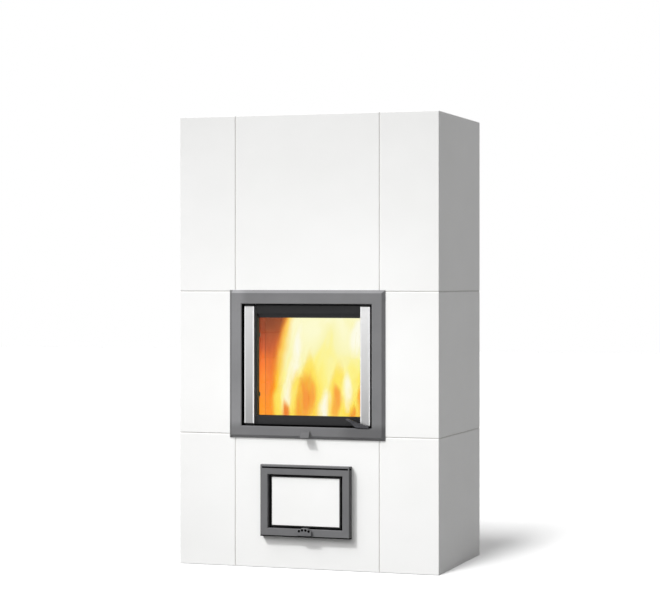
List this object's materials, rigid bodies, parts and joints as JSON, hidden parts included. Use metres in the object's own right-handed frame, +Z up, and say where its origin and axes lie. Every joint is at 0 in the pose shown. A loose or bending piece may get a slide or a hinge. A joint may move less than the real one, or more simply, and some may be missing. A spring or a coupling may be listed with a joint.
{
  "type": "tiled stove",
  "caption": "Tall box-shaped heat-storing stove clad in large plain tiles, with a framed glass fire door, an air slide, a small ash door with a pan behind it, and a flue outlet low in the back.",
  "frame": {"origin": "on the floor, at the middle of the stove's footprint", "axes": "+Z up, -Y out of the front with the doors, +X to the right seen from the front"},
  "size_m": [0.904, 0.5553, 1.5],
  "materials": {
    "white_tile": "satin white glaze",
    "mortar": "pale grey struck joint",
    "core_concrete": "cast refractory concrete",
    "firebrick": "rough firebrick",
    "insulation_board": "matt mineral board",
    "ceramic_fibre": "felted fibre",
    "frame_grey": "satin grey paint",
    "door_black": "heat-proof matt black",
    "dark_steel": "oiled sheet steel",
    "bright_steel": "zinc plated",
    "bar_aluminium": "fine brushed",
    "lever_metal": "dark burnished",
    "clear_glass": "clear glass ceramic",
    "rope_seal": "woven fibre rope",
    "grate_iron": "as-cast"
  },
  "bodies": {
    "root": {"lower_left_corner_tile": "white_tile", "lower_right_corner_tile": "white_tile", "middle_left_corner_tile": "white_tile", "middle_right_corner_tile": "white_tile", "upper_left_corner_tile": "white_tile", "upper_right_corner_tile": "white_tile", "back_tiles": "white_tile", "lower_front_tile": "white_tile", "upper_front_tile": "white_tile", "top_slab": "core_concrete", "tile_joints": "mortar", "lintel_angle": "dark_steel", "insulation_boards": "insulation_board", "base_slab": "core_concrete", "channel_slabs": "core_concrete", "front_piers": "core_concrete", "ash_chamber_blocks": "core_concrete", "back_core_slab": "core_concrete", "sill_block": "core_concrete", "front_core_beams": "core_concrete", "firebox_side_bricks": "firebrick", "firebox_back_bricks": "firebrick", "firebox_lintel_brick": "firebrick", "hearth_slab": "firebrick", "fire_grate": "grate_iron", "throat_slab": "firebrick", "chamber_walls": "firebrick", "core_roof_slab": "core_concrete", "flue_collar": "dark_steel", "firebox_frame": "frame_grey", "firebox_casing": "dark_steel", "frame_screws": "bright_steel", "casing_insulation": "ceramic_fibre", "firebox_latch_keeper": "dark_steel", "air_slide_guides": "dark_steel", "ash_frame": "frame_grey", "ash_frame_anchors": "bright_steel", "ash_casing": "dark_steel", "ash_pan_runners": "dark_steel"},
    "firebox_door": {"firebox_door_leaf": "door_black", "left_door_bar": "bar_aluminium", "right_door_bar": "bar_aluminium", "door_screws": "bright_steel", "firebox_hinge_pins": "bright_steel", "firebox_glass": "clear_glass", "glass_gasket": "rope_seal", "glass_clips": "dark_steel", "air_wash_strip": "door_black", "firebox_door_seal": "rope_seal"},
    "firebox_latch": {"firebox_latch_lever": "lever_metal", "firebox_latch_spindle": "lever_metal"},
    "air_control": {"air_slide": "lever_metal"},
    "ash_door": {"ash_door_tray": "dark_steel", "ash_door_tile": "white_tile", "ash_door_screws": "bright_steel", "ash_door_seal": "rope_seal", "ash_hinge_pins": "bright_steel", "ash_latch_guide": "dark_steel"},
    "ash_latch": {"ash_latch": "grate_iron"},
    "ash_pan": {"ash_pan": "bright_steel"}
  },
  "joints": [
    {"name": "firebox_door_hinge", "type": "hinge", "parent": "root", "child": "firebox_door", "pos_m": [-0.2135, -0.2565, 0.6715], "axis": [0, 0, -1], "range_deg": [0, 100]},
    {"name": "firebox_latch_pivot", "type": "hinge", "parent": "firebox_door", "child": "firebox_latch", "pos_m": [0.1755, -0.25, 0.48], "axis": [0, -1, 0], "range_deg": [0, 25]},
    {"name": "air_slide_travel", "type": "slide", "parent": "root", "child": "air_control", "axis": [0, -1, 0], "range_m": [0, 0.02]},
    {"name": "ash_door_hinge", "type": "hinge", "parent": "root", "child": "ash_door", "pos_m": [-0.11175, -0.26875, 0.22225], "axis": [0, 0, -1], "range_deg": [0, 110]},
    {"name": "ash_latch_lift", "type": "slide", "parent": "ash_door", "child": "ash_latch", "axis": [0, 0, 1], "range_m": [0, 0.005]},
    {"name": "ash_pan_travel", "type": "slide", "parent": "root", "child": "ash_pan", "axis": [0, -1, 0], "range_m": [0, 0.17]}
  ],
  "couplings": [
    {"joint": "ash_pan_travel", "follows": "ash_door_hinge", "m_per_rad": 0.0885}
  ]
}
